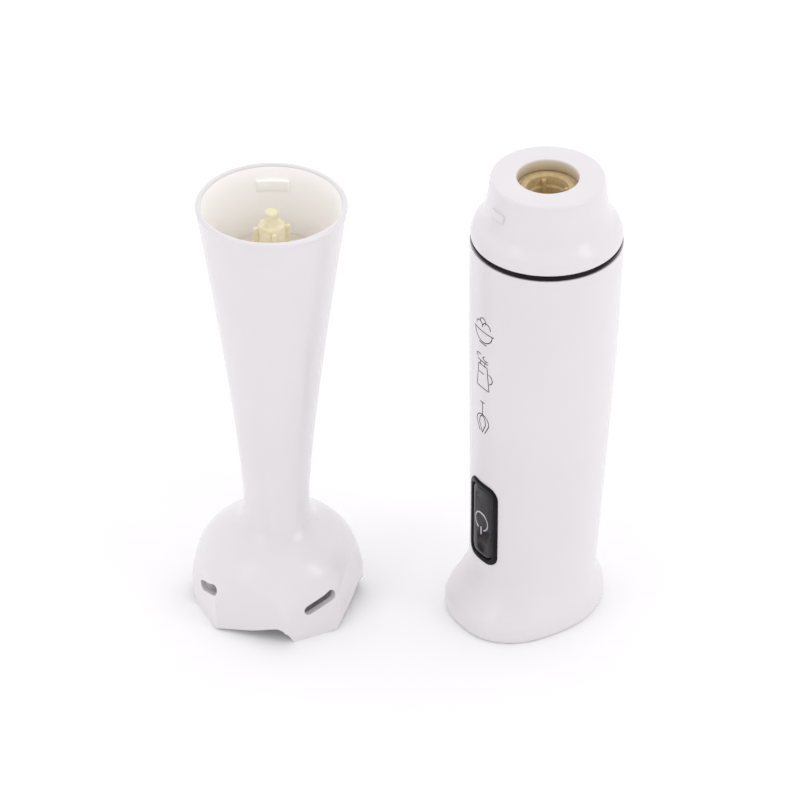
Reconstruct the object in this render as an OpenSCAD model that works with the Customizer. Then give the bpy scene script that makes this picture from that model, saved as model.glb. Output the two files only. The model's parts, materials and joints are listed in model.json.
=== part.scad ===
// Immersion blender: motor handle standing on its foot, blending shaft standing on its bell beside it.
// Millimetres, +Z up, floor at z = 0. The handle's drive axis is the Z axis.

/* [Handle] */
// Height of the motor handle, foot to nose
handle_h = 206.5; // [165:0.5:260]
// Radius of the body under the trim ring
top_r = 30.6; // [25:0.1:38]
// Radius of the grip above the foot
waist_r = 26.5; // [22:0.1:33]
// Wall of the handle shell
wall = 2.6; // [2:0.1:3.2]
// Height where the foot runs out into the grip
foot_h = 28; // [24:0.5:36]
// Half width of the foot
foot_half_w = 27.6; // [24:0.1:36]
// Reach of the toe from the foot's centre
toe_half = 34.6; // [26:0.1:38]
// Reach of the heel from the foot's centre
heel_half = 33.4; // [28:0.1:40]
// How far the foot's centre leads the axis
foot_lead = 6.3; // [5:0.1:11]
// How far the grip's centre leads the axis
waist_lead = 3.65; // [1:0.05:5]
// Height of the nose above the trim ring
nose_h = 27.3; // [22.5:0.1:33]
// Height of the trim ring
ring_h = 2.4; // [1.6:0.1:3.2]
// Radius of the nose's coupling bore
bore_r = 12.3; // [11.5:0.1:15]
// Direction the handle's front faces
handle_turn = -55.5; // [-180:0.5:180]

/* [Button] */
// Height of the button's centre
button_z = 50; // [42:0.5:60]
// Width of the bezel
bezel_w = 18; // [16:0.5:24]
// Height of the bezel
bezel_h = 39; // [33:0.5:48]
// Travel of the button
button_travel = 1.8; // [1:0.1:2.2]
// Gap round the button
button_gap = 0.2; // [0.1:0.05:0.4]

/* [Wand] */
// Height of the blending shaft
wand_h = 194; // [160:0.5:240]
// Radius of the funnel mouth
mouth_r = 30.3; // [25:0.1:37]
// Radius of the neck
neck_r = 13.6; // [11.8:0.1:17]
// Wall of the funnel
wand_wall = 2.8; // [2.2:0.1:3.2]
// Radius of the bell guard at its lobes
bell_r = 36; // [30:0.1:44]
// Distance of the bell's flats from the axis
flat_r = 33.5; // [28:0.1:41]
// Bell tooth facet distance (mm)
tooth_r = 32.1; // [27:0.1:40]
// Height of the rim's teeth
tooth_h = 7.2; // [5:0.1:9]
// Length of the slanted slots
slot_len = 15; // [12:0.1:18]
// Width of the slanted slots
slot_w = 4.6; // [2.6:0.1:5]
// Distance between the two axes
row_gap = 109; // [88:1:135]

/* [Drive] */
// Radius of the motor shaft
motor_shaft_r = 2.5; // [2:0.05:3]
// Radius of the blade shaft
blade_shaft_r = 3; // [2.5:0.05:3.6]
// Radius of the motor can
can_r = 17.5; // [14.5:0.1:19]
// Radius of the blade's sweep
blade_r = 24.5; // [20:0.1:27]
// Radius of the drive dog
dog_r = 5.4; // [4.5:0.1:6.5]
// Radial clearance of running fits
run_gap = 0.05; // [0.02:0.01:0.09]
// Radial clearance standing in for press fits
seat_gap = 0.02; // [0.01:0.01:0.05]

/* [Hidden] */
$fn = 72;
sides = 44;
wand_x = -row_gap;
sole_h = 6.2;
edge_r = 1.6;
edge_h = 3;
foot_square = 0.48;
zt = handle_h - nose_h - ring_h;
zr = zt + ring_h;
ring_r = top_r - 0.2;
skirt_r = top_r - wall - 0.5;
boss_r = skirt_r - 5.3;
// drive stack, downwards from the nose
bk_z0 = zt - 11.8;
can_z1 = bk_z0 - 3;
board_h = bezel_h + 3;
board_z0 = button_z - board_h / 2 + 0.5;
board_z1 = board_z0 + board_h;
fan_z0 = board_z1 + 7;
fan_h = 8;
eb_z0 = fan_z0 + fan_h + 3.5;
can_z0 = eb_z0 + 7;
comm_z = can_z0 + 6;
core_z0 = can_z0 + 18;
core_z1 = can_z1 - 14;
core_r = can_r - 5;
slot_in = core_r * 0.48;
slot_half = core_r * 0.072;
lead_r = 0.9;
// button group, measured forwards from the axis
bz_r = body_r(button_z);
bz_c = lean(button_z);
fr = bz_r + bz_c;
bezel_back = fr - 7.2;
button_w = bezel_w - 4.8 - 2 * button_gap;
button_h = bezel_h - 4.8 - 2 * button_gap;
board_f = fr - 18;
switch_f = board_f + 6;
// wand
floor_z1 = wand_h - 29;
floor_z0 = floor_z1 - 3;
bs = bell_r / 36;
tube_r = blade_shaft_r + 2.6;
bush_r = tube_r - 1.4;
plate_z = 31 * bs;
neck_z = 54 * bs;
drive_top = wand_h - 4;

red = [0.62, 0.08, 0.07];

// ---------- shape functions ----------

function smooth(u) = let (v = min(1, max(0, u))) v * v * (3 - 2 * v);
function along(z) = min(1, max(0, (z - foot_h) / (zt - foot_h)));
function body_r(z) = let (s = along(z))
  waist_r + (top_r - waist_r) * 0.5 * (smooth(s) + 1 - (1 - s) * (1 - s));
function lean(z) = waist_lead * pow(1 - along(z), 1.5);
function flare(z) = 1 - smooth((z - sole_h) / (foot_h - sole_h));
function edge(z) = z < edge_h ? edge_r * (1 - sqrt(1 - pow((edge_h - z) / edge_h, 2))) : 0;
function centre_f(z) = lean(z) + (foot_lead - waist_lead) * flare(z);
function half(z, full) = body_r(z) + (full - waist_r) * pow(flare(z), 2.6) - edge(z);

// one level of the handle, front towards -Y, drawn in by `inset`
function level(z, zs, inset) = let (
    c = centre_f(zs), n = 2 + foot_square * pow(flare(zs), 2),
    b = half(zs, foot_half_w) - inset, af = half(zs, toe_half) - inset,
    ab = half(zs, heel_half) - inset)
  [for (i = [0 : sides - 1]) let (
      a = 360 * i / sides, ct = cos(a), st = sin(a),
      m = st < 0 ? n : 2, l = st < 0 ? af : ab)
    [b * sign(ct) * pow(abs(ct), 2 / m), l * sign(st) * pow(abs(st), 2 / m) - c, z]];

// closed band through a list of rings, the last one joined to the first
module band(rings) {
  k = len(rings);
  n = len(rings[0]);
  polyhedron(
    points = [for (r = rings) each r],
    faces = [for (i = [0 : k - 1]) let (p = i * n, q = ((i + 1) % k) * n)
      for (j = [0 : n - 1]) let (t = (j + 1) % n)
        each [[p + j, q + j, q + t], [p + j, q + t, p + t]]],
    convexity = 6);
}

// solid through a list of rings, capped at both ends
module stack(rings) {
  k = len(rings);
  n = len(rings[0]);
  polyhedron(
    points = [for (r = rings) each r],
    faces = concat(
      [[for (j = [0 : n - 1]) j]],
      [[for (j = [0 : n - 1]) k * n - 1 - j]],
      [for (i = [0 : k - 2]) let (p = i * n, q = p + n)
        for (j = [0 : n - 1]) let (t = (j + 1) % n)
          each [[p + j, q + j, q + t], [p + j, q + t, p + t]]]),
    convexity = 6);
}

function unit(v) = v / norm(v);

// round bar of radius r along a path whose bends lie square to `side`
module bar(path, r, side, n = 8) {
  k = len(path);
  stack([for (i = [0 : k - 1]) let (
      t = unit(unit(path[min(i + 1, k - 1)] - path[max(i - 1, 0)])),
      e = unit(cross(side, t)), g = cross(t, e))
    [for (j = [0 : n - 1]) path[i] + r * (cos(360 * j / n) * e + sin(360 * j / n) * g)]]);
}

// coil about the Z axis
module coil(r, wire, turns, z0, z1, n = 14) {
  stack([for (i = [0 : turns * n]) let (
      a = 360 * i / n, c = [r * cos(a), r * sin(a), z0 + (z1 - z0) * i / (turns * n)],
      e = [cos(a), sin(a), 0], g = [0, 0, 1])
    [for (j = [0 : 5]) c + wire * (cos(60 * j) * e - sin(60 * j) * g)]]);
}

function corner(x, y, r, a0) = [for (i = [0 : 5]) let (a = a0 + 18 * i) [x + r * cos(a), y + r * sin(a)]];
function rr_pts(w, h, r) = concat(
  corner(w / 2 - r, h / 2 - r, r, 0), corner(r - w / 2, h / 2 - r, r, 90),
  corner(r - w / 2, r - h / 2, r, 180), corner(w / 2 - r, r - h / 2, r, 270));

// ---------- small helpers ----------

module in_handle() {
  rotate([0, 0, handle_turn])
    children();
}

module in_wand() {
  translate([wand_x, 0, 0])
    children();
}

module cyl(r, z0, z1) {
  translate([0, 0, z0])
    cylinder(r = r, h = z1 - z0);
}

module tube(ro, ri, z0, z1) {
  difference() {
    cyl(ro, z0, z1);
    cyl(ri, z0 - 1, z1 + 1);
  }
}

module box(x0, x1, y0, y1, z0, z1) {
  translate([x0, y0, z0])
    cube([x1 - x0, y1 - y0, z1 - z0]);
}

// rounded plate facing the front, from f0 to f1 ahead of the axis
module front_plate(w, h, r, f0, f1) {
  translate([0, -f0, button_z])
    rotate([90, 0, 0])
      linear_extrude(height = f1 - f0)
        polygon(rr_pts(w, h, r));
}

// round pin facing the front
module front_pin(r, f0, f1, z, u = 0) {
  translate([u, -f0, z])
    rotate([90, 0, 0])
      cylinder(r = r, h = f1 - f0);
}

// upright drum that follows the grip's front
module grip_drum(r) {
  translate([0, -bz_c, 0])
    cyl(r, button_z - bezel_h, button_z + bezel_h);
}

module around(count, r, a0 = 0) {
  for (i = [0 : count - 1])
    rotate([0, 0, a0 + 360 * i / count])
      translate([r, 0, 0])
        children();
}

// pan-head screw, head at z, shank going to z_end
module screw(r, head_r, head_h, z, z_end) {
  up = z_end > z ? 1 : -1;
  z_head = z - up * head_h;
  difference() {
    union() {
      cyl(head_r, min(z, z_head), max(z, z_head));
      cyl(r, min(z - up * 0.2, z_end), max(z - up * 0.2, z_end));
    }
    for (a = [0, 90])
      rotate([0, 0, a])
        box(-head_r * 0.62, head_r * 0.62, -0.35, 0.35,
          z_head + min(0, up) * 1.1 - (up > 0 ? 0.1 : -0.1) * 1, z_head + max(0, up) * 1.1);
  }
}

// ---------- handle: shell and foot ----------

lip = wall + 2.8;
cap_bolts = [foot_lead + toe_half - lip - 4.2, foot_lead - heel_half + lip + 4.2];
inlet_f = 12;
// cord clamp: screws beside the gland, between the rails of the board
clamp_x = 7.2;
rail_x = 9.4;
clamp_z = 10.1;

module handle_shell() {
  foot_z = [for (i = [0 : 8]) sole_h + (foot_h - sole_h) * i / 8];
  grip_z = [for (t = [0.07, 0.16, 0.28, 0.43, 0.6, 0.8]) foot_h + (zt - foot_h) * t];
  zs = concat([0, 0.35, 1.1, edge_h], foot_z, grip_z, [zt]);
  zi = concat([zt, zt - 14], [for (i = [4 : -1 : 0]) grip_z[i]], [for (i = [8 : -1 : 0]) foot_z[i]], [5, 3.4]);
  color([0.91, 0.90, 0.91])
    in_handle()
      difference() {
        union() {
          band(concat([for (z = zs) level(z, z, 0)], [for (z = zi) level(z, max(z, 5), wall)],
            [for (z = [3.4, 0]) level(z, 5, lip)]));
          for (f = cap_bolts)
            translate([0, -f, 0]) {
              cyl(3.4, 3.4, 16);
              box(-1.2, 1.2, min(0, -sign(f) * (lip + 3.4)), max(0, -sign(f) * (lip + 3.4)), 3.2, 13);
            }
        }
        front_plate(bezel_w + 0.3, bezel_h + 0.3, 5.2, fr - 8, fr + 12);
        for (f = cap_bolts)
          translate([0, -f, 0])
            cyl(1.5 + seat_gap, 2, 14);
      }
}

module end_cap() {
  color([0.90, 0.89, 0.90])
    in_handle()
      difference() {
        union() {
          stack([level(0, 5, lip + 0.15), level(3.2, 5, lip + 0.15)]);
          for (s = [-1, 1])
            box(min(s * rail_x, s * 13.2), max(s * rail_x, s * 13.2), -board_f - 1.9, -board_f + 3.5, 3, board_z0 + 9);
          tubes_inlet();
          for (s = [-1, 1])
            translate([s * clamp_x, -inlet_f, 0])
              cyl(rail_x - clamp_x + 0.1, 3, clamp_z - seat_gap);
        }
        for (s = [-1, 1])
          box(s > 0 ? 9 : -11.2, s > 0 ? 11.2 : -9, -board_f - 0.1, -board_f + 1.7, board_z0 - 0.1, board_z0 + 12);
        for (f = cap_bolts)
          translate([0, -f, 0]) {
            cyl(1.7, -1, 4);
            cyl(3, -1, 1.7);
          }
        translate([0, -inlet_f, 0])
          cyl(6.1, -1, 2.4);
        translate([0, -inlet_f, 0])
          cyl(4.6, -1, 14);
        for (s = [-1, 1])
          translate([s * clamp_x, -inlet_f, 0])
            cyl(1.1 + seat_gap, 4.5, 14);
        for (s = [-1, 1], k = [0 : 2])
          translate([s * (11.5 + 4.2 * k), 3, 0])
            box(-1.1, 1.1, -7 + 2 * k, 9 - 2 * k, -1, 4);
      }
}

module tubes_inlet() {
  translate([0, -inlet_f, 0])
    cyl(6.4, 3, 9);
}

module cap_screws() {
  color([0.62, 0.63, 0.65])
    in_handle()
      for (f = cap_bolts)
        translate([0, -f, 0])
          screw(1.5, 2.8, 1.1, 1.7, 13);
}

module cord_gland() {
  color([0.16, 0.15, 0.16])
    in_handle()
      translate([0, -inlet_f, 0])
        difference() {
          union() {
            cyl(6, 0.6, 2.35);
            cyl(4.5, 0.6, 9.5);
          }
          cyl(3.6, 0, 12);
        }
}

module cord_clamp() {
  color([0.86, 0.85, 0.84])
    in_handle()
      translate([0, -inlet_f, 0])
        difference() {
          box(0.2 - rail_x, rail_x - 0.2, -3.2, 3.2, clamp_z, clamp_z + 3.3);
          cyl(3.4, 10, 14);
          for (s = [-1, 1])
            translate([s * clamp_x, 0, 0])
              cyl(1.1 + seat_gap, 10, 14);
        }
}

module clamp_screws() {
  color([0.62, 0.63, 0.65])
    in_handle()
      translate([0, -inlet_f, 0])
        for (s = [-1, 1])
          translate([s * clamp_x, 0, 0])
            screw(1.1, 1.9, 1.2, clamp_z + 3.3, 5.5);
}

module terminal_block() {
  color([0.88, 0.86, 0.80])
    in_handle()
      difference() {
        box(-8, 8, 0.5, 8, 3.22, 12.5);
        for (s = [-1, 1])
          translate([s * 3.8, 4.2, 0])
            cyl(1.5, 5, 13);
      }
}

module supply_leads() {
  color([0.35, 0.22, 0.16])
    in_handle()
      for (s = [-1, 1])
        bar([[s * 3.8, 4.2, 6], [s * 3.8, 4.2, 17], [s * 3.8, 2.4, 21], [s * 3.8, -3, 25],
          [s * 3.8, -board_f + 4.6, 27.5], [s * 3.8, -board_f + 2.7, 30.5],
          [s * 3.8, -board_f + 2.7, board_z0 + 10]], lead_r, [1, 0, 0]);
}

// ---------- handle: nose ----------

module nose_collar() {
  z = zr;
  k = nose_h / 27.3;
  q = ring_r / 30;
  plate = zr + nose_h - 5;
  color([0.91, 0.90, 0.91])
    union() {
      difference() {
        rotate_extrude()
          polygon([[skirt_r - 2.7, bk_z0 - 1], [skirt_r, bk_z0 - 1], [skirt_r, z], [29.85 * q, z],
            [29.95 * q, z + 1 * k], [29.8 * q, z + 2.6 * k], [29.1 * q, z + 4.8 * k],
            [27.9 * q, z + 6.8 * k], [26.7 * q, z + 8.3 * k], [25.7 * q, z + 9.8 * k],
            [24.9 * q, z + 11.6 * k], [24.3 * q, z + 13.8 * k], [23.7 * q, z + 17.2 * k],
            [23.1 * q, z + 21.2 * k], [22.7 * q, z + 25.3 * k], [22 * q, z + nose_h],
            [bore_r, z + nose_h], [bore_r, plate], [20.2 * q, plate], [21.4 * q, z + 17 * k],
            [22.4 * q, z + 12.5 * k], [skirt_r - 2.7, z + 6 * k]]);
      }
      around(3, boss_r, 30)
        difference() {
          cyl(3, bk_z0 + 3.1, z + 7.5 * k);
          cyl(1.5 + seat_gap, bk_z0 + 2, z + 3 * k);
        }
      in_handle()
        for (s = [0, 180])
          rotate([0, 0, s])
            intersection() {
              tube(24.6 * q, 22.8 * q, z + 15.5 * k, z + 19 * k);
              box(-4, 4, -30, 0, z, z + nose_h);
            }
    }
}

module trim_ring() {
  color([0.10, 0.09, 0.10])
    tube(ring_r, skirt_r + 0.2, zt + 0.05, zr - 0.05);
}

module motor_bracket() {
  q = ring_r / 30;
  color([0.80, 0.80, 0.79])
    difference() {
      union() {
        cyl(skirt_r - 3.1, bk_z0, bk_z0 + 3);
        around(2, 12.5, 0)
          cyl(3.2, can_z1 + 0.02, bk_z0 + 1);
      }
      cyl(motor_shaft_r + 0.9, bk_z0 - 1, bk_z0 + 4);
      around(2, 12.5, 0)
        cyl(1.7, can_z1 - 1, bk_z0 + 4);
      around(3, boss_r, 30)
        cyl(1.7, bk_z0 - 1, bk_z0 + 4);
    }
}

module collar_screws() {
  q = ring_r / 30;
  color([0.62, 0.63, 0.65])
    around(3, boss_r, 30)
      screw(1.5, 2.4, 1.8, bk_z0 - 0.02, bk_z0 + 12);
}

module motor_screws() {
  color([0.62, 0.63, 0.65])
    around(2, 12.5, 0)
      screw(1.45, 2.7, 2, bk_z0 + 3.02, can_z1 - 3);
}

module motor_cradle() {
  z = (can_z0 + can_z1) / 2;
  color([0.80, 0.80, 0.79])
    difference() {
      cyl(body_r(z - 8) - wall - lean(z - 8) - 0.4, z - 3, z + 3);
      cyl(can_r + 2.1, z - 4, z + 4);
      in_handle()
        for (s = [-1, 1])
          rotate([0, 0, s * 45])
            translate([0, -body_r(z) + wall, 0])
              cyl(4.4, z - 4, z + 4);
      around(4, can_r + 5.8, 20)
        cyl(1.7, z - 4, z + 4);
    }
}

module damper_ring() {
  z = (can_z0 + can_z1) / 2;
  color([0.12, 0.12, 0.13])
    tube(can_r + 2, can_r + seat_gap, z - 4.5, z + 4.5);
}

// ---------- handle: motor ----------

module motor_can() {
  color([0.55, 0.56, 0.58])
    difference() {
      union() {
        cyl(can_r, can_z0, can_z1);
        cyl(9, can_z1 - 1, bk_z0 - 0.02);
      }
      cyl(can_r - 1.4, can_z0 - 1, can_z1 - 1.4);
      cyl(6 + seat_gap, can_z1 - 3, bk_z0 + 1);
      around(2, 12.5, 0)
        cyl(1.5, can_z1 - 3, can_z1 + 1);
      for (a = [0, 90])
        rotate([0, 0, a])
          box(-can_r - 1, can_r + 1, -3, 3, can_z1 - 10, can_z1 - 4);
    }
}

module motor_magnets() {
  color([0.20, 0.20, 0.21])
    for (a = [0, 180])
      rotate([0, 0, a])
        intersection() {
          tube(can_r - 1.42, core_r + 0.6, core_z0 - 1.5, core_z1 + 1.5);
          translate([0, 0, core_z0 - 2])
            linear_extrude(height = core_z1 - core_z0 + 4)
              polygon([[0, 0], [-30, 12], [-30, 40], [30, 40], [30, 12]]);
        }
}

module motor_end_bell() {
  color([0.14, 0.14, 0.15])
    difference() {
      union() {
        cyl(can_r - 0.1, eb_z0, can_z0 - 0.02);
        for (s = [0, 180])
          rotate([0, 0, s])
            box(7.4, can_r - 2, -2.6, 2.6, can_z0 - 1, comm_z + 3.6);
      }
      cyl(7 + seat_gap, eb_z0 + 1, can_z0 - 1);
      cyl(motor_shaft_r + 0.8, eb_z0 - 1, can_z0 + 1);
      for (s = [0, 180])
        rotate([0, 0, s])
          box(7, can_r - 3, -1.6, 1.6, comm_z - 2.6, comm_z + 2.6);
      around(4, 11.5, 45)
        cyl(1.6, eb_z0 - 1, can_z0 + 1);
    }
}

module carbon_brushes() {
  color([0.18, 0.17, 0.17])
    for (s = [0, 180])
      rotate([0, 0, s])
        difference() {
          box(5.9, 11, -1.5, 1.5, comm_z - 2.5, comm_z + 2.5);
          cyl(6.05, comm_z - 4, comm_z + 4);
        }
}

module brush_springs() {
  color([0.70, 0.68, 0.60])
    for (s = [0, 180])
      rotate([0, 0, s])
        translate([0, 0, comm_z])
          rotate([0, 90, 0])
            coil(1.05, 0.2, 4, 11.25, can_r - 3.3, 12);
}

module front_bearing() {
  color([0.70, 0.52, 0.30])
    tube(6, motor_shaft_r + run_gap, can_z1 - 1.4, bk_z0 - 0.1);
}

module rear_bearing() {
  color([0.70, 0.52, 0.30])
    tube(7, motor_shaft_r + run_gap, eb_z0 + 1.02, can_z0 - 1.02);
}

module motor_leads() {
  rw = body_r(fan_z0) - wall - lean(fan_z0) - lead_r - 0.8;
  // behind the board, then over its top edge
  ly = (board_f - 1.6 - lead_r - seat_gap) / cos(42);
  color(red)
    in_handle()
      for (s = [-1, 1])
        rotate([0, 0, s * 42])
          bar([[0, -ly, board_z1 - 6], [0, -ly, board_z1 + 1.6], [0, -rw + 3, board_z1 + 3.8],
            [0, -rw, board_z1 + 6.6], [0, -rw, eb_z0 - 5.5], [0, -rw + 1.2, eb_z0 - 2.6],
            [0, -rw + 3.2, eb_z0 - 1.7], [0, -15, eb_z0 - 1.7], [0, -13.6, eb_z0 - 1.2],
            [0, -13.2, eb_z0 - 0.1]], lead_r, [1, 0, 0]);
}

module rotor_shaft() {
  color([0.72, 0.73, 0.75])
    cyl(motor_shaft_r, fan_z0 - 2, zr + nose_h - 16.5);
}

module rotor_core() {
  color([0.42, 0.43, 0.45])
    difference() {
      cyl(core_r, core_z0, core_z1);
      cyl(motor_shaft_r + seat_gap, core_z0 - 1, core_z1 + 1);
      around(12, 0)
        box(slot_in, core_r + 1, -slot_half, slot_half, core_z0 - 1, core_z1 + 1);
    }
}

module rotor_windings() {
  color([0.66, 0.33, 0.15])
    union() {
      for (z = [core_z0 - 6.5, core_z1 + 0.1])
        difference() {
          cyl(core_r - 1, z, z + 6.4);
          cyl(motor_shaft_r + 2.2, z - 1, z + 8);
        }
      around(12, 0)
        box(slot_in + 0.2, core_r - 1.2, 0.1 - slot_half, slot_half - 0.1, core_z0 - 0.2, core_z1 + 0.2);
    }
}

module commutator() {
  color([0.72, 0.42, 0.22])
    difference() {
      cyl(6, comm_z - 3.5, comm_z + 4.4);
      cyl(motor_shaft_r + seat_gap, comm_z - 5, comm_z + 6);
      around(12, 0, 15)
        box(5.3, 7, -0.2, 0.2, comm_z - 5, comm_z + 6);
    }
}

module cooling_fan() {
  rf = body_r(fan_z0) - wall - lean(fan_z0) - 2 * lead_r - 2.2;
  color([0.82, 0.82, 0.80])
    difference() {
      union() {
        cyl(5, fan_z0, fan_z0 + fan_h);
        around(9, 0)
          translate([4, 0, fan_z0 + fan_h / 2])
            rotate([50, 0, 0])
              box(0, rf - 5, -0.6, 0.6, -fan_h / 2 + 0.2, fan_h / 2 - 0.2);
      }
      cyl(motor_shaft_r + seat_gap, fan_z0 - 1, fan_z0 + fan_h + 1);
    }
}

module splash_slinger() {
  z = zr - 5;
  color([0.12, 0.12, 0.13])
    tube(9.5, motor_shaft_r + seat_gap, z, z + 1.6);
}

module drive_socket() {
  top = zr + nose_h - 5.1;
  color([0.80, 0.72, 0.52])
    difference() {
      union() {
        cyl(bore_r - 1.3, top - 13.4, top);
        cyl(bore_r + 1.1, top - 2.4, top - 0.4);
        cyl(5.5, top - 23.4, top - 12);
      }
      difference() {
        cyl(bore_r - 4, top - 10.4, top + 1);
        around(4, 0, 10)
          box(dog_r + 1.1, bore_r, -1.1, 1.1, top - 11, top - 1.2);
      }
      cyl(motor_shaft_r + seat_gap, top - 25, top);
    }
}

// ---------- handle: button and switch ----------

module button_bezel() {
  color([0.08, 0.07, 0.08])
    in_handle()
      difference() {
        union() {
          intersection() {
            front_plate(bezel_w, bezel_h, 5, bezel_back, fr + 6);
            grip_drum(bz_r + 1);
          }
          intersection() {
            front_plate(bezel_w + 4, bezel_h + 4, 5, bezel_back, fr);
            grip_drum(bz_r - wall - 0.7);
          }
        }
        front_plate(bezel_w - 4.8, bezel_h - 4.8, 3.2, bezel_back - 1, fr + 8);
      }
}

module power_button() {
  color([0.09, 0.08, 0.09])
    in_handle()
      difference() {
        union() {
          intersection() {
            front_plate(button_w, button_h, 3, bezel_back - 1.6, fr + 6);
            grip_drum(bz_r + 0.5);
          }
          front_plate(button_w + 3, button_h + 3, 3, bezel_back - 1.6, bezel_back - 0.1);
          intersection() {
            difference() {
              front_pin(4.6, fr - 4, fr + 2, button_z);
              front_pin(3.8, fr - 5, fr + 3, button_z);
            }
            grip_drum(bz_r + 0.75);
          }
        }
        difference() {
          front_plate(button_w - 3, button_h - 3, 2, bezel_back - 3, fr - 2.6);
          front_pin(2, switch_f + 1.5, fr, button_z);
        }
        front_pin(2.1, switch_f - 4, switch_f + 1.5, button_z);
      }
}

module button_spring() {
  color([0.70, 0.70, 0.68])
    in_handle()
      translate([0, 0, button_z + 11])
        rotate([90, 0, 0])
          coil(2.2, 0.3, 6, board_f + 0.35, fr - 3, 14);
}

module switch_board() {
  color([0.10, 0.34, 0.20])
    in_handle()
      difference() {
        box(-11, 11, -board_f, -board_f + 1.6, board_z0, board_z1);
        for (s = [-1, 1])
          translate([s * 8.5, -board_f - 1, board_z1 - 3.5])
            rotate([-90, 0, 0])
              cylinder(r = 1.1, h = 4);
      }
}

module micro_switch() {
  color([0.15, 0.15, 0.17])
    in_handle()
      difference() {
        box(-3.2, 3.2, -switch_f, -board_f - 0.02, button_z - 6.4, button_z + 6.4);
        front_pin(1.3 + run_gap, switch_f - 4.8, switch_f + 1, button_z);
      }
}

module switch_plunger() {
  color([0.80, 0.20, 0.14])
    in_handle()
      front_pin(1.3, switch_f - 2.6, switch_f + 1.4, button_z);
}

module rectifier() {
  color([0.13, 0.13, 0.14])
    in_handle()
      box(-5, 5, -board_f + 1.62, -board_f + 4.6, button_z + 8, button_z + 16);
}

module capacitor() {
  color([0.85, 0.62, 0.12])
    in_handle()
      box(-6.5, 6.5, -board_f + 1.62, -board_f + 7.6, button_z - 8, button_z + 4);
}

// ---------- blending shaft ----------

function funnel_r(z) = neck_r + (mouth_r - neck_r) * pow(max(0, (z - neck_z) / (wand_h - neck_z)), 1.25);

// eight facets of the bell, `inset` further in: slot facets and tooth facets in turn
module facets(inset, z0) {
  intersection() {
    rotate([0, 0, 25.5])
      box(inset - flat_r, flat_r - inset, inset - flat_r, flat_r - inset, z0, 50 * bs);
    rotate([0, 0, -19.5])
      box(inset - tooth_r, tooth_r - inset, inset - tooth_r, tooth_r - inset, z0, 50 * bs);
  }
}

module bell_cuts() {
  // saw-tooth rim, four teeth
  for (k = [0 : 3])
    rotate([0, 0, 70.5 + 90 * k])
      translate([0, 0, 0])
        rotate([90, 0, 0])
          linear_extrude(height = bell_r + 4)
            polygon([[-18 * bs, -1], [-18 * bs, 0], [-11.5 * bs, 0.2 * tooth_h],
              [-5 * bs, 0.36 * tooth_h], [0, 0.49 * tooth_h], [5 * bs, 0.7 * tooth_h],
              [8.5 * bs, 0.88 * tooth_h], [11.5 * bs, tooth_h], [13.8 * bs, 0.92 * tooth_h],
              [15.8 * bs, 0.62 * tooth_h], [17.6 * bs, 0], [17.6 * bs, -1]]);
  // slanted slots
  for (k = [0 : 3])
    rotate([0, 0, 32.5 + 90 * k])
      translate([0, 0, 16.5 * bs])
        rotate([90, 0, 0])
          linear_extrude(height = bell_r + 4)
            rotate(23)
              polygon(rr_pts(slot_len, slot_w, slot_w / 2 - 0.01));
}

module wand_housing() {
  zf = [for (i = [0 : 10]) neck_z + (wand_h - neck_z) * i / 10];
  color([0.91, 0.90, 0.91])
    in_wand()
      difference() {
        union() {
          rotate_extrude()
            polygon(concat([[0, plate_z], [14.2 * bs, plate_z], [14.2 * bs, 38.5 * bs], [neck_r + 0.15, 44 * bs]],
              [for (z = zf) if (z < wand_h - 2) [funnel_r(z), z]],
              [[mouth_r - 0.1, wand_h - 1.2], [mouth_r - 0.6, wand_h - 0.3], [mouth_r - 1.4, wand_h],
                [0, wand_h]]));
          intersection() {
            rotate_extrude()
              polygon([[0, 45.5 * bs], [neck_r + 0.3, 45.5 * bs], [14.9 * bs, 42 * bs], [16.6 * bs, 39.5 * bs],
                [19.2 * bs, 37.3 * bs], [22.5 * bs, 35.1 * bs], [25.9 * bs, 32.9 * bs],
                [28.7 * bs, 30.4 * bs], [30.9 * bs, 27.6 * bs], [32.6 * bs, 24.4 * bs],
                [34 * bs, 20.4 * bs], [35.2 * bs, 15 * bs], [bell_r, 9 * bs], [35.6 * bs, 0], [0, 0]]);
            facets(0, -1);
          }
        }
        // bell cavity
        intersection() {
          rotate_extrude()
            polygon([[0, plate_z], [21.5 * bs, plate_z], [25.2 * bs, 29.2 * bs], [27.9 * bs, 26.6 * bs],
              [30 * bs, 23.2 * bs], [31.5 * bs, 19.4 * bs], [32.6 * bs, 14.6 * bs],
              [33.2 * bs, 9 * bs], [33.2 * bs, -1], [0, -1]]);
          facets(2.4, -2);
        }
        bell_cuts();
        // funnel cavity
        rotate_extrude()
          polygon(concat([[0, 42 * bs], [neck_r - wand_wall, 42 * bs]],
            [for (z = zf) [funnel_r(z) - wand_wall, z]],
            [[mouth_r - wand_wall + 0.5, wand_h + 1], [0, wand_h + 1]]));
        cyl(tube_r + seat_gap, plate_z - 1, 43 * bs);
        // pocket of the shaft seal
        cyl(tube_r + 2.2, plate_z - 1, plate_z + 4);
      }
  color([0.91, 0.90, 0.91])
    in_wand()
      for (a = [0, 180])
        rotate([0, 0, a])
          intersection() {
            tube(funnel_r(wand_h - 11) - wand_wall / 2, mouth_r - wand_wall - 2.2, wand_h - 11, wand_h - 6);
            box(-7, 7, 0, mouth_r, wand_h - 12, wand_h - 5);
          }
}

module wand_floor() {
  color([0.88, 0.86, 0.82])
    in_wand()
      difference() {
        union() {
          translate([0, 0, floor_z0])
            cylinder(r1 = funnel_r(floor_z0) - wand_wall - 0.15, r2 = funnel_r(floor_z1) - wand_wall - 0.15,
              h = 3);
          cyl(tube_r + 3, floor_z0 - 8, floor_z1 + 2.2);
        }
        cyl(tube_r + seat_gap, floor_z0 - 9, floor_z1 + 4);
      }
}

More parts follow.
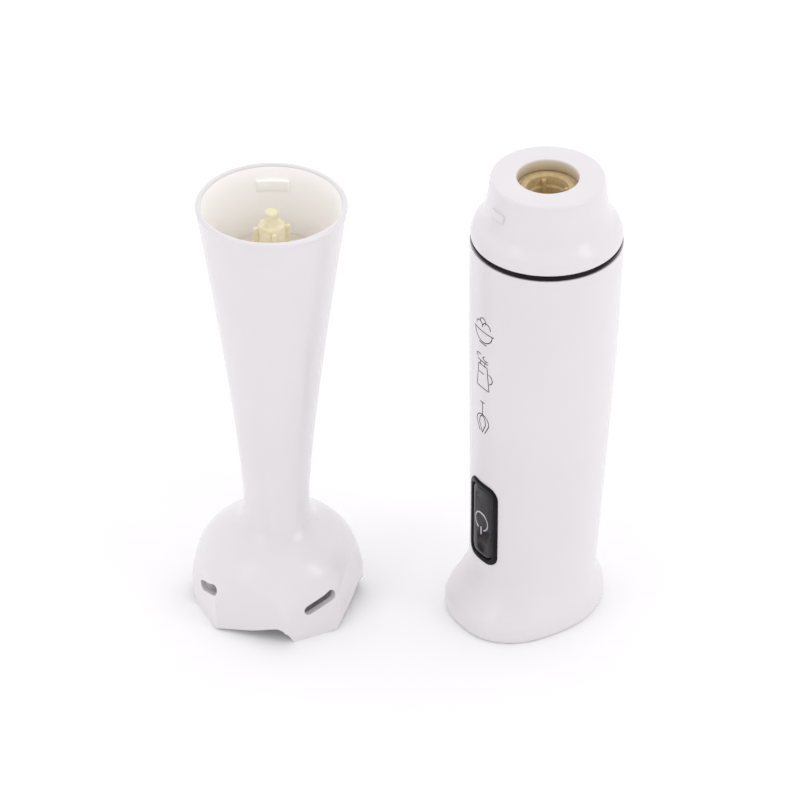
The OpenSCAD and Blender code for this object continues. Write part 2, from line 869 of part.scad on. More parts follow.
module bearing_tube() {
  color([0.72, 0.73, 0.75])
    in_wand()
      tube(tube_r, bush_r + seat_gap, plate_z + 4.1, floor_z1 + 2.2);
}

module upper_bush() {
  color([0.70, 0.52, 0.30])
    in_wand()
      tube(bush_r, blade_shaft_r + run_gap, floor_z1 - 9, floor_z1 + 2);
}

module lower_bush() {
  color([0.70, 0.52, 0.30])
    in_wand()
      tube(bush_r, blade_shaft_r + run_gap, plate_z + 4.3, plate_z + 15);
}

module shaft_seal() {
  color([0.12, 0.12, 0.13])
    in_wand()
      difference() {
        cyl(tube_r + 2.15, plate_z + 0.1, plate_z + 3.9);
        cyl(blade_shaft_r + run_gap, plate_z, plate_z + 4);
        tube(tube_r + 0.4, blade_shaft_r + 0.9, plate_z, plate_z + 2.4);
      }
}

module seal_cover() {
  color([0.85, 0.84, 0.82])
    in_wand()
      tube(tube_r + 4.6, blade_shaft_r + 1.2, plate_z - 1.5, plate_z - 0.02);
}

module drive_shaft() {
  color([0.76, 0.77, 0.79])
    in_wand()
      difference() {
        cyl(blade_shaft_r, 8.2 * bs, drive_top - 7.6);
        tube(blade_shaft_r + 1, blade_shaft_r - 0.5, floor_z1 + 3.9, floor_z1 + 4.8);
      }
}

module drive_dog() {
  z0 = floor_z1 + 6.5;
  color([0.87, 0.82, 0.64])
    in_wand()
      difference() {
        union() {
          cyl(dog_r, z0, drive_top - 6);
          cyl(2.8, drive_top - 7, drive_top);
          around(4, 0, 10)
            box(0, dog_r + 2, -1.1, 1.1, z0 + 1.5, drive_top - 7);
        }
        cyl(blade_shaft_r + seat_gap, z0 - 1, drive_top - 7.5);
      }
}

module thrust_washer() {
  color([0.80, 0.81, 0.82])
    in_wand()
      tube(tube_r - 0.1, blade_shaft_r + seat_gap, floor_z1 + 2.35, floor_z1 + 3.8);
}

module retaining_clip() {
  color([0.45, 0.46, 0.48])
    in_wand()
      difference() {
        tube(blade_shaft_r + 1.6, blade_shaft_r - 0.4, floor_z1 + 3.95, floor_z1 + 4.75);
        box(0, 10, -1.6, 1.6, floor_z1 + 3, floor_z1 + 6);
      }
}

module blade_hub() {
  color([0.74, 0.75, 0.77])
    in_wand()
      difference() {
        union() {
          cyl(5.2, 13.6 * bs, 21 * bs);
          cyl(7, 13.6 * bs, 15 * bs);
          cyl(4.2, 20 * bs, plate_z - 1.8);
        }
        cyl(blade_shaft_r + seat_gap, 12, plate_z + 1);
      }
}

module blade() {
  z = 12.2 * bs;
  t = 1.2;
  color([0.80, 0.81, 0.83])
    in_wand()
      rotate([0, 0, 28])
        difference() {
          union() {
            cyl(7, z, z + t);
            for (s = [0, 1])
              rotate([0, 0, 180 * s]) {
                translate([0, 0, z])
                  linear_extrude(height = t)
                    polygon([[0, -5.5], [blade_r * 0.62, -5], [blade_r * 0.62, 3.2], [0, 5.5]]);
                translate([blade_r * 0.62 - 0.3, 0, z])
                  rotate([0, s == 0 ? -32 : 32, 0])
                    linear_extrude(height = t)
                      polygon([[0, -5], [blade_r * 0.3, -4.2], [blade_r * 0.42, 1.5],
                        [blade_r * 0.3, 3], [0, 3.2]]);
              }
          }
          cyl(blade_shaft_r + seat_gap, z - 6, z + 6);
        }
}

module blade_nut() {
  z = 12.1 * bs;
  color([0.74, 0.75, 0.77])
    in_wand()
      difference() {
        union() {
          translate([0, 0, z - 3])
            cylinder(r = 5, h = 3, $fn = 6);
          translate([0, 0, z - 4.6])
            cylinder(r1 = 2.6, r2 = 4, h = 1.7);
        }
        cyl(blade_shaft_r + seat_gap, z - 3.95, z + 1);
      }
}

// ---------- drawing ----------

handle_shell();
end_cap();
cap_screws();
cord_gland();
cord_clamp();
clamp_screws();
terminal_block();
supply_leads();
nose_collar();
trim_ring();
collar_screws();
motor_bracket();
motor_screws();
motor_cradle();
damper_ring();
motor_can();
motor_magnets();
motor_end_bell();
carbon_brushes();
brush_springs();
front_bearing();
rear_bearing();
motor_leads();
button_bezel();
button_spring();
switch_board();
micro_switch();
rectifier();
capacitor();
rotor_shaft();
rotor_core();
rotor_windings();
commutator();
cooling_fan();
splash_slinger();
drive_socket();
power_button();
switch_plunger();
wand_housing();
wand_floor();
bearing_tube();
upper_bush();
lower_bush();
shaft_seal();
seal_cover();
drive_shaft();
drive_dog();
thrust_washer();
retaining_clip();
blade_hub();
blade();
blade_nut();
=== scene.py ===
# %% [markdown]
# # A hand blender taken apart, built around its CAD frame
# The CAD model gives every piece its true place and size. This lesson dresses it: the pieces that
# are seen are modelled again with smooth surfaces, and every other piece gets a real finish.

import bpy
import json
import math
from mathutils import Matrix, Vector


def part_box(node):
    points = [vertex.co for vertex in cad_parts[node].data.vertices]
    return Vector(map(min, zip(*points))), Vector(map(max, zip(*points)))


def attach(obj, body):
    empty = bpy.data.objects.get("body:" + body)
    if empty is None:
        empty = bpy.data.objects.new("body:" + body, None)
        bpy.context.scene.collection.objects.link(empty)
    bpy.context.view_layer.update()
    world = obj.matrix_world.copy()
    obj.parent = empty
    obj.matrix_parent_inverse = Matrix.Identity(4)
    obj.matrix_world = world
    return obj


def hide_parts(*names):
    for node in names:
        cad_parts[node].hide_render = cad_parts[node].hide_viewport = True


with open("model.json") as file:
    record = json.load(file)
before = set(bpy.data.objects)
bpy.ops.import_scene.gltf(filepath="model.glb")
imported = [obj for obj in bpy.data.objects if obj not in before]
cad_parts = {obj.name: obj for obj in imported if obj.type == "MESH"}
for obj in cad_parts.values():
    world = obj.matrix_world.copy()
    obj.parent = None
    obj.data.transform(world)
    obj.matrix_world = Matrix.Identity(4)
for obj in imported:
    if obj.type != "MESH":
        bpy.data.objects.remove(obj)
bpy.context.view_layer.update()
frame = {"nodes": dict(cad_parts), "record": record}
MM = 0.001
record = frame["record"]


# %% [markdown]
# ## Where things are
# Lengths are worked out in millimetres, as on a drawing, and turned to metres at the last moment.
# The handle faces away from the axes by a turn of its own, so one function takes a point given as
# "sideways, forwards, up" on the handle and says where that is in the room.

# %% Places taken from the frame
def node_box(name):
    low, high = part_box(name)
    return [v / MM for v in low], [v / MM for v in high]


shell_high = node_box("handle_shell")[1]
ring_low, ring_high = node_box("trim_ring")
wand_low, wand_high = node_box("wand_housing")
ZT = shell_high[2]
ZR = ring_high[2] + 0.05
NOSE_TOP = node_box("nose_collar")[1][2]
WAND_X = (wand_low[0] + wand_high[0]) / 2
WAND_H = wand_high[2]
TURN = math.radians(-55.5)
COS, SIN = math.cos(TURN), math.sin(TURN)


def on_handle(u, f, z):
    """Sideways, forwards and up on the handle, in millimetres, to metres in the room."""
    return ((u * COS + f * SIN) * MM, (u * SIN - f * COS) * MM, z * MM)


def on_wand(x, y, z):
    return ((WAND_X + x) * MM, y * MM, z * MM)


print("shell top", round(ZT, 2), "nose top", round(NOSE_TOP, 2), "shaft axis", round(WAND_X, 2))


# %% [markdown]
# ## Camera
# A long lens from far off, looking down on the pair, keeps the uprights nearly parallel, which is
# how such a product is usually shown.

# %% Camera
CAM_TILT = math.radians(35.385)
CAM_DISTANCE = 2.038
CAM_AIM = (-0.0582, 0.0, 0.0985)
camera_data = bpy.data.cameras.new("camera")
camera = bpy.data.objects.new("camera", camera_data)
bpy.context.scene.collection.objects.link(camera)
camera.location = (
    CAM_AIM[0],
    CAM_AIM[1] - CAM_DISTANCE * math.cos(CAM_TILT),
    CAM_AIM[2] + CAM_DISTANCE * math.sin(CAM_TILT),
)
camera.rotation_euler = (math.pi / 2 - CAM_TILT, 0, 0)
camera_data.lens = 226.0
camera_data.sensor_width = 36.0
camera_data.clip_end = 20
bpy.context.scene.camera = camera
print("camera", [round(v, 3) for v in camera.location])


# %% [markdown]
# ## Light and floor
# White plastic on a white floor is drawn by soft light: a bright surround, a little darker behind
# the camera so that the faces turned to it shade gently, a tall soft lamp on the upper left, a
# narrower one on the right for the gloss, and a broad one overhead. The floor is a wide sheet, so
# the pieces stand in their own faint shadows.

# %% Light and floor
world = bpy.data.worlds.new("surround")
bpy.context.scene.world = world
world.use_nodes = True
background = world.node_tree.nodes["Background"]
background.inputs["Color"].default_value = (1.0, 0.995, 1.0, 1)
background.inputs["Strength"].default_value = 1.0
sky = world.node_tree
way = sky.nodes.new("ShaderNodeTexCoord")
split = sky.nodes.new("ShaderNodeSeparateXYZ")
shade = sky.nodes.new("ShaderNodeMapRange")
shade.inputs["From Min"].default_value = -1.0
shade.inputs["From Max"].default_value = 0.2
shade.inputs["To Min"].default_value = 0.86
shade.inputs["To Max"].default_value = 1.04
sky.links.new(way.outputs["Generated"], split.inputs["Vector"])
sky.links.new(split.outputs["Y"], shade.inputs["Value"])
sky.links.new(shade.outputs["Result"], background.inputs["Strength"])
bpy.context.scene.view_settings.view_transform = "Standard"


def soft_lamp(name, place, aim, size, power):
    data = bpy.data.lights.new(name, "AREA")
    data.shape = "RECTANGLE"
    data.size, data.size_y = size
    data.energy = power
    lamp = bpy.data.objects.new(name, data)
    bpy.context.scene.collection.objects.link(lamp)
    lamp.location = place
    away = lamp.location - type(lamp.location)(aim)
    lamp.rotation_euler = away.to_track_quat("Z", "Y").to_euler()
    return lamp


soft_lamp("lamp_left", (-1.3, -0.9, 1.5), (-0.05, 0, 0.08), (0.5, 1.3), 1.8)
soft_lamp("lamp_right", (1.2, -0.6, 1.1), (-0.05, 0, 0.08), (0.35, 0.9), 2.2)
soft_lamp("lamp_top", (-0.05, 0.25, 1.6), (-0.05, 0, 0.0), (1.2, 1.2), 1.1)

bpy.ops.object.select_all(action="DESELECT")
bpy.ops.mesh.primitive_plane_add(size=8, location=(0, 0, 0))
floor = bpy.context.object
floor.name = "floor"


# %% [markdown]
# ## How finishes are written
# A finish is a small graph of nodes. One function adds a node, sets it and links it, and one turns
# the hex colours of a paint chart into the linear numbers that light works in.

# %% Helpers for finishes
def rgb(code, alpha=1.0):
    parts = [int(code[i : i + 2], 16) / 255 for i in (1, 3, 5)]
    return [c / 12.92 if c <= 0.04045 else ((c + 0.055) / 1.055) ** 2.4 for c in parts] + [alpha]


def add(tree, kind, links=None, values=None, **settings):
    """A new node: `links` are sockets joined to its inputs, `values` are fixed inputs."""
    node = tree.nodes.new(kind)
    for key, value in settings.items():
        setattr(node, key, value)
    for key, value in (values or {}).items():
        node.inputs[key].default_value = value
    for key, socket in (links or {}).items():
        tree.links.new(socket, node.inputs[key])
    return node


def start(name):
    material = bpy.data.materials.new(name)
    material.use_nodes = True
    tree = material.node_tree
    surface = tree.nodes["Principled BSDF"]
    place = add(tree, "ShaderNodeTexCoord").outputs["Object"]
    return material, tree, surface, place


def shade_between(tree, factor, dark, light, low=0.35, high=0.65):
    """Colours from dark to light as the factor goes from low to high."""
    ramp = add(tree, "ShaderNodeValToRGB", {"Fac": factor})
    ramp.color_ramp.elements[0].position = low
    ramp.color_ramp.elements[0].color = rgb(dark)
    ramp.color_ramp.elements[1].position = high
    ramp.color_ramp.elements[1].color = rgb(light)
    return ramp.outputs["Color"]


def rough_between(tree, factor, low, high):
    ramp = add(tree, "ShaderNodeMapRange", {"Value": factor}, {"To Min": low, "To Max": high})
    return ramp.outputs["Result"]


def grain(tree, place, size_mm, detail=2.0, stretch=(1, 1, 1)):
    """A noise whose blotches are about size_mm across."""
    spread = add(tree, "ShaderNodeMapping", {"Vector": place}, {"Scale": stretch})
    noise = add(tree, "ShaderNodeTexNoise", {"Vector": spread.outputs["Vector"]},
                {"Scale": 1 / (size_mm * MM) / 2, "Detail": detail})
    return noise.outputs["Fac"]


def emboss(tree, surface, height, depth_mm, strength=1.0):
    bump = add(tree, "ShaderNodeBump", {"Height": height},
               {"Strength": strength, "Distance": depth_mm * MM})
    tree.links.new(bump.outputs["Normal"], surface.inputs["Normal"])


print("finish helpers ready")


# %% [markdown]
# ## White moulded shells
# The shells are ABS, moulded in a polished tool and left glossy. What shows is a clean white with
# a breath of lilac, a clear soft highlight, a very faint unevenness from the cooling plastic, and
# the finest of surface grain. The wall inside the funnel looks warmer, because light that has
# passed through the plastic and bounced within it has lost its blue. That warm light, and the shade
# deeper down the funnel and down the nose's bore, are painted into the colour by height.

# %% White plastics
def white_abs(name, light, dark, gloss):
    material, tree, surface, place = start(name)
    flow = grain(tree, place, 28, 2.0)
    tree.links.new(shade_between(tree, flow, dark, light), surface.inputs["Base Color"])
    fine = grain(tree, place, 0.5, 3.0)
    tree.links.new(rough_between(tree, fine, gloss - 0.03, gloss + 0.05),
                   surface.inputs["Roughness"])
    surface.inputs["IOR"].default_value = 1.52
    surface.inputs["Coat Weight"].default_value = 0.25
    surface.inputs["Coat Roughness"].default_value = 0.12
    surface.inputs["Subsurface Weight"].default_value = 0.06
    surface.inputs["Subsurface Radius"].default_value = (0.004, 0.0035, 0.003)
    surface.inputs["Subsurface Scale"].default_value = 1.0
    emboss(tree, surface, grain(tree, place, 6.0, 2.0), 0.02, 0.25)
    return material


shell_white = white_abs("moulded_white_abs", "#E4E0E3", "#E1DDE0", 0.24)
def painted_shade_by_depth(name, light, deep, low, high, gloss):
    """The same plastic down a hole, with painted shade: it warms and darkens from the height `high`
    down to `low`, in mm.
    """
    material, tree, surface, place = start(name)
    height = add(tree, "ShaderNodeSeparateXYZ", {"Vector": place}).outputs["Z"]
    depth = add(tree, "ShaderNodeMapRange", {"Value": height},
                {"From Min": low * MM, "From Max": high * MM})
    tree.links.new(shade_between(tree, depth.outputs["Result"], deep, light, 0.0, 1.0),
                   surface.inputs["Base Color"])
    fine = grain(tree, place, 0.5, 3.0)
    tree.links.new(rough_between(tree, fine, gloss - 0.03, gloss + 0.05),
                   surface.inputs["Roughness"])
    surface.inputs["IOR"].default_value = 1.52
    emboss(tree, surface, grain(tree, place, 6.0, 2.0), 0.02, 0.25)
    return material


# Painted shade and painted warm bounce light: the funnel's inside goes from near white at the mouth to
# cream deep down.
funnel_painted_shade = painted_shade_by_depth("abs_painted_funnel_shade", "#FFFDFC", "#E6DACA", 145, 174, 0.42)
# Painted shade: the nose's bore goes from pale at its top to tan deep down.
bore_painted_shade = painted_shade_by_depth("abs_painted_bore_shade", "#E8E2DA", "#B9A582", 201.5, 206.3, 0.42)
inner_white = white_abs("moulded_inner_white", "#E4DDD2", "#DCD3C6", 0.45)
print("white plastics", shell_white.name, funnel_painted_shade.name)


# %% [markdown]
# ## Smoked chrome and piano black
# The ring is plated plastic: a mirror with a dark film over it. The switch is black acrylic-coated
# plastic, so deep that only its reflections show, with the least veil of fine polishing marks.

# %% Ring and switch finishes
def plated(name, tone, rough, cloud="#332E33"):
    material, tree, surface, place = start(name)
    haze = grain(tree, place, 9, 2.0)
    tree.links.new(shade_between(tree, haze, tone, cloud, 0.3, 1.0), surface.inputs["Base Color"])
    tree.links.new(rough_between(tree, haze, rough, rough + 0.06), surface.inputs["Roughness"])
    surface.inputs["Metallic"].default_value = 1.0
    return material


def piano_black(name, tone, gloss, shine=0.12, coat=0.05):
    material, tree, surface, place = start(name)
    haze = grain(tree, place, 5, 2.0)
    tree.links.new(shade_between(tree, haze, tone, "#1A171A"), surface.inputs["Base Color"])
    tree.links.new(rough_between(tree, haze, gloss, gloss + 0.05), surface.inputs["Roughness"])
    surface.inputs["IOR"].default_value = 1.5
    surface.inputs["Coat Weight"].default_value = coat
    surface.inputs["Specular IOR Level"].default_value = shine
    surface.inputs["Coat Roughness"].default_value = 0.04
    emboss(tree, surface, grain(tree, place, 0.35, 2.0), 0.004, 0.3)
    return material


smoked_chrome = plated("smoked_chrome", "#1B171B", 0.10)
switch_black = piano_black("piano_black_abs", "#0A080A", 0.06, 0.3, 0.3)
bezel_black = piano_black("bezel_black_abs", "#0B090B", 0.1)
mark_chrome = plated("mark_satin_chrome", "#B4B0B4", 0.2, "#C8C4C8")
ink_grey = piano_black("printed_grey_ink", "#232024", 0.45)
print("dark finishes", smoked_chrome.name, switch_black.name)


# %% [markdown]
# ## Working metals and plastics inside
# Turned steel shows fine rings round its axis, sintered bronze is speckled with pores, stamped
# laminations show their stacked edges, and the windings show the turns of their wire. Nylon and
# glass-filled parts are matt with a sandy grain.

# %% Inner finishes
def turned_metal(name, light, dark, rough, line_mm=0.35):
    material, tree, surface, place = start(name)
    lines = add(tree, "ShaderNodeTexWave", {"Vector": place},
                {"Scale": 1 / (line_mm * MM) / 6.28, "Distortion": 1.5, "Detail": 2.0},
                bands_direction="Z")
    worn = grain(tree, place, 4, 3.0)
    tree.links.new(shade_between(tree, worn, dark, light), surface.inputs["Base Color"])
    tree.links.new(rough_between(tree, lines.outputs["Fac"], rough, rough + 0.12),
                   surface.inputs["Roughness"])
    surface.inputs["Metallic"].default_value = 1.0
    emboss(tree, surface, lines.outputs["Fac"], 0.01, 0.3)
    return material


def grained(name, light, dark, rough, size_mm, depth_mm, metallic=0.0):
    material, tree, surface, place = start(name)
    speck = grain(tree, place, size_mm, 4.0)
    tree.links.new(shade_between(tree, speck, dark, light), surface.inputs["Base Color"])
    tree.links.new(rough_between(tree, speck, rough, min(1.0, rough + 0.15)),
                   surface.inputs["Roughness"])
    surface.inputs["Metallic"].default_value = metallic
    emboss(tree, surface, speck, depth_mm, 0.5)
    return material


def layered(name, light, dark, rough, pitch_mm, metallic):
    """Stacked sheets or wound wire: dark lines between bright ones, one every pitch_mm."""
    material, tree, surface, place = start(name)
    lines = add(tree, "ShaderNodeTexWave", {"Vector": place},
                {"Scale": 1 / (pitch_mm * MM) / 6.28 * 2, "Distortion": 0.3, "Detail": 1.0},
                bands_direction="Z", wave_profile="SIN")
    tree.links.new(shade_between(tree, lines.outputs["Fac"], dark, light, 0.1, 0.6),
                   surface.inputs["Base Color"])
    tree.links.new(rough_between(tree, lines.outputs["Fac"], rough + 0.2, rough),
                   surface.inputs["Roughness"])
    surface.inputs["Metallic"].default_value = metallic
    emboss(tree, surface, lines.outputs["Fac"], 0.1, 0.6)
    return material


FINISHES = {
    "white_shell": shell_white,
    "white_inner": inner_white,
    "dark_chrome": smoked_chrome,
    "black_gloss": switch_black,
    "cream_plastic": grained("cream_nylon", "#EEE6C8", "#E6DCB8", 0.42, 1.2, 0.02),
    "black_rubber": grained("black_rubber", "#242325", "#18171A", 0.7, 0.8, 0.03),
    "zinc_screws": turned_metal("zinc_plated_steel", "#C3C5C8", "#9DA0A4", 0.28, 0.5),
    "grey_plastic": grained("glass_filled_nylon", "#C2C0BC", "#AFADA9", 0.55, 0.9, 0.03),
    "can_steel": turned_metal("rolled_can_steel", "#AEB1B5", "#8E9196", 0.34, 0.9),
    "bright_steel": turned_metal("ground_stainless_steel", "#D3D5D8", "#B4B7BB", 0.22, 0.3),
    "spring_steel": turned_metal("drawn_spring_wire", "#B9B8B2", "#97968F", 0.30, 0.4),
    "bronze": grained("sintered_bronze", "#C2904F", "#8F6533", 0.36, 0.5, 0.02, 1.0),
    "ferrite": grained("pressed_ferrite", "#3A3A3D", "#28282B", 0.66, 0.7, 0.03),
    "carbon": grained("carbon_graphite", "#2B2A2A", "#1B1A1A", 0.5, 0.5, 0.02),
    "black_plastic": grained("black_glass_filled_nylon", "#2A2A2D", "#1D1D20", 0.52, 0.8, 0.02),
    "laminations": layered("stamped_laminations", "#9B9DA1", "#4E5054", 0.4, 1.0, 1.0),
    "copper": layered("enamelled_copper_wire", "#C4793F", "#6B3416", 0.28, 0.8, 1.0),
    "brown_wire": grained("brown_pvc_lead", "#6B3F24", "#5A331C", 0.4, 1.5, 0.01),
    "red_wire": grained("red_pvc_lead", "#B4261F", "#9C1E19", 0.4, 1.5, 0.01),
    "board_green": grained("solder_mask_green", "#2B7A45", "#1E6236", 0.35, 1.6, 0.01),
    "capacitor_yellow": grained("dipped_yellow_epoxy", "#D9A425", "#C4901A", 0.34, 2.0, 0.02),
}

# Painted shade: the drive socket is the same cream nylon as the drive dog, made darker tan because it
# sits down the nose's bore.
socket_painted_shade_nylon = grained("cream_nylon_painted_bore_shade", "#D0BA8E", "#C0A97B", 0.46, 1.2, 0.02)

for part in record["subparts"]:
    node = frame["nodes"][part["node"]]
    node.data.materials.clear()
    node.data.materials.append(FINISHES[part["material_slot"]])
print("finishes put on", len(record["subparts"]), "CAD nodes")

# The floor is matt card, pale and very slightly cloudy.
material, tree, surface, place = start("studio_card")
tree.links.new(shade_between(tree, grain(tree, place, 400, 2.0), "#FCFBFC", "#FEFDFE"),
               surface.inputs["Base Color"])
surface.inputs["Roughness"].default_value = 0.9
surface.inputs["Specular IOR Level"].default_value = 0.1
floor.data.materials.append(material)


# %% [markdown]
# ## Tools of the bench
# Everything starts from a circle. For a turned piece it is pulled up with extrude and scaled
# about its own axis, ring after ring, as a potter would. The outlines of the foot, the bell and
# the switch are not circles and no scaling gives them, so there the rings are extruded in the
# same way and every ring is then laid on its own outline, which a formula gives.

# %% Turning
def edit(piece):
    bpy.ops.object.select_all(action="DESELECT")
    piece.select_set(True)
    bpy.context.view_layer.objects.active = piece
    bpy.ops.object.mode_set(mode="EDIT")
    bpy.ops.mesh.select_mode(type="VERT")
    bpy.ops.mesh.select_all(action="SELECT")


def close_up(piece, bridge):
    edit(piece)
    if bridge:
        bpy.ops.mesh.select_all(action="DESELECT")
        bpy.ops.mesh.select_mode(type="EDGE")
        bpy.ops.mesh.select_non_manifold(extend=False)
        bpy.ops.mesh.bridge_edge_loops()
        bpy.ops.mesh.select_mode(type="VERT")
        bpy.ops.mesh.select_all(action="SELECT")
    bpy.ops.mesh.remove_doubles(threshold=0.000004)
    bpy.ops.mesh.normals_make_consistent(inside=False)
    bpy.ops.object.mode_set(mode="OBJECT")
    bpy.ops.object.transform_apply(location=True, rotation=True, scale=True)


def turn(name, axis, profile, sides=96, walled=True):
    """A turned piece. profile: (radius, height) in mm; a radius of 0 closes an end."""
    near = 0.002
    r0, z0 = max(profile[0][0], near), profile[0][1]
    bpy.ops.object.select_all(action="DESELECT")
    bpy.ops.mesh.primitive_circle_add(
        vertices=sides, radius=r0 * MM, location=(axis[0] * MM, axis[1] * MM, z0 * MM))
    piece = bpy.context.object
    piece.name = name
    edit(piece)
    for r, z in profile[1:]:
        r = max(r, near)
        bpy.ops.mesh.extrude_region_move(TRANSFORM_OT_translate={"value": (0, 0, (z - z0) * MM)})
        if abs(r / r0 - 1) > 1e-6:
            bpy.ops.transform.resize(value=(r / r0, r / r0, 1),
                                     center_override=(axis[0] * MM, axis[1] * MM, z * MM))
        r0, z0 = r, z
    bpy.ops.object.mode_set(mode="OBJECT")
    close_up(piece, walled)
    return piece


# %% Rings on an outline
def ring_stack(name, sides, rings, bridge=True):
    """rings: functions from a share of the way round, 0 to 1, to a point in metres."""
    bpy.ops.object.select_all(action="DESELECT")
    bpy.ops.mesh.primitive_circle_add(vertices=sides, radius=0.03, location=(0, 0, 0))
    piece = bpy.context.object
    piece.name = name
    edit(piece)
    for _ in rings[1:]:
        bpy.ops.mesh.extrude_region_move(TRANSFORM_OT_translate={"value": (0, 0, 1)})
    bpy.ops.object.mode_set(mode="OBJECT")
    for v in piece.data.vertices:
        share = (math.atan2(v.co.y, v.co.x) / math.tau) % 1.0
        v.co = rings[round(v.co.z)](share)
    close_up(piece, bridge)
    return piece


def keep_modifier(piece, kind, **settings):
    modifier = piece.modifiers.new(kind.lower(), kind)
    for key, value in settings.items():
        setattr(modifier, key, value)
    bpy.ops.object.select_all(action="DESELECT")
    piece.select_set(True)
    bpy.context.view_layer.objects.active = piece
    bpy.ops.object.modifier_apply(modifier=modifier.name)


def soften(piece, width_mm, segments=3, degrees=32):
    keep_modifier(piece, "BEVEL", width=width_mm * MM, segments=segments, limit_method="ANGLE",
                  angle_limit=math.radians(degrees), harden_normals=False)


def cut(piece, tool):
    keep_modifier(piece, "BOOLEAN", operation="DIFFERENCE", solver="EXACT", object=tool)
    bpy.data.objects.remove(tool)


def dress(piece, finish, slot, body, *nodes, angle=35):
    bpy.ops.object.select_all(action="DESELECT")
    piece.select_set(True)
    bpy.context.view_layer.objects.active = piece
    bpy.ops.object.shade_smooth_by_angle(angle=math.radians(angle))
    piece.data.materials.clear()
    piece.data.materials.append(finish)
    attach(piece, body)
    if nodes:
        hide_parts(*nodes)
    print(piece.name, len(piece.data.polygons), "faces")


def flowing(points, steps=4):
    """A smooth line through the corners of a profile (Catmull-Rom)."""
    line = []
    for i in range(len(points) - 1):
        p0, p1 = points[max(i - 1, 0)], points[i]
        p2, p3 = points[i + 1], points[min(i + 2, len(points) - 1)]
        for k in range(steps):
            t = k / steps
            line.append(tuple(
                0.5 * (2 * b + (c - a) * t + (2 * a - 5 * b + 4 * c - d) * t * t
                       + (3 * b - a - 3 * c + d) * t ** 3)
                for a, b, c, d in zip(p0, p1, p2, p3)))
    return line + [points[-1]]


print("bench ready")


# %% [markdown]
# ## The handle shell and its foot
# One moulded shell: the grip is round at the ring and slims towards the foot, and the foot
# reaches forward like a shoe, with a squarish toe and a round heel. The outline at each height is
# an ellipse whose corners are filled out by an exponent above 2. The wall is drawn with the same
# rings, a wall's thickness further in, and the window for the switch is cut last.

# %% Outline of the grip and foot
WALL = 2.6
FOOT_H, SOLE_H = 28.0, 6.2
TOP_R, WAIST_R = 30.6, 26.5
FOOT_W, TOE, HEEL = 27.6, 34.6, 33.4
FOOT_LEAD, WAIST_LEAD = 6.3, 3.65
EDGE_R, EDGE_H = 1.6, 3.0
LIP = WALL + 2.8


def ease(t):
    t = min(1.0, max(0.0, t))
    return t * t * (3 - 2 * t)


def outline(z):
    """Centre, toe, heel, half width and squareness of the outline at height z."""
    s = min(1.0, max(0.0, (z - FOOT_H) / (ZT - FOOT_H)))
    flare = 1 - ease((z - SOLE_H) / (FOOT_H - SOLE_H))
    body = WAIST_R + (TOP_R - WAIST_R) * 0.5 * (ease(s) + 1 - (1 - s) ** 2)
    edge = EDGE_R * (1 - math.sqrt(1 - ((EDGE_H - z) / EDGE_H) ** 2)) if z < EDGE_H else 0.0
    lead = WAIST_LEAD * (1 - s) ** 1.5 + (FOOT_LEAD - WAIST_LEAD) * flare
    toe, heel, wide = [body + (full - WAIST_R) * flare ** 2.6 - edge
                       for full in (TOE, HEEL, FOOT_W)]
    return lead, toe, heel, wide, 2 + 0.48 * flare ** 2


def grip_ring(z, inset=0.0, like=None):
    lead, toe, heel, wide, square = outline(z if like is None else like)

    def point(share):
        c, s = math.cos(share * math.tau), math.sin(share * math.tau)
        n, reach = (square, toe) if s < 0 else (2.0, heel)
        u = (wide - inset) * math.copysign(abs(c) ** (2 / n), c)
        y = (reach - inset) * math.copysign(abs(s) ** (2 / n), s)
        return on_handle(u, lead - y, z)

    return point


def grip_front(u, z):
    """How far forward the shell's face is, u to the side and z up."""
    lead, toe, _, wide, n = outline(z)
    return lead + toe * max(0.0, 1 - abs(u / wide) ** n) ** (1 / n)


print("toe reaches", round(grip_front(0, 8), 1), "mm forwards, grip", round(grip_front(0, 60), 1))

# %% The shell
outside = [0, 0.1, 0.35, 0.8, 1.4, 2.1] + list(range(3, 25)) + [
           25.2, 26.6, 28, 30, 33, 37, 41, 46, 52, 59, 67, 76, 86, 97, 109, 121, 133, 145, 156,
           165, 171, ZT - 0.9, ZT - 0.25, ZT - 0.06]
inside = [ZT - 14, 130, 105, 80, 58, 43, 33, FOOT_H, 24, 20, 16, 13, 10, 8, SOLE_H, 5]
rings = [grip_ring(0, LIP - EDGE_R, 5)] + [grip_ring(z) for z in outside]
rings += [grip_ring(ZT, 0.2, ZT), grip_ring(ZT, 0.6, ZT), grip_ring(ZT, WALL, ZT)]
SOLE_SEAT, SOLE_LEVEL = 3.4, 5
rings += [grip_ring(z, WALL) for z in inside]
rings += [grip_ring(SOLE_SEAT, WALL, SOLE_LEVEL), grip_ring(SOLE_SEAT, LIP, SOLE_LEVEL),
          grip_ring(0, LIP, SOLE_LEVEL)]
body_shell = ring_stack("body_shell", 160, rings)
print("body shell rings", len(rings))


# %% [markdown]
# ## The switch
# A black frame is let into the grip's front, and a piano-black key fills it. Both bend with the
# grip, so their outlines are rounded rectangles laid on the grip's own face, with a height above
# it. The key carries a raised ring and stroke, the usual mark for power.

# %% Rounded outlines on the grip
BUTTON_Z = 50.0
BEZEL_W, BEZEL_H, CORNER = 18, 39, 5


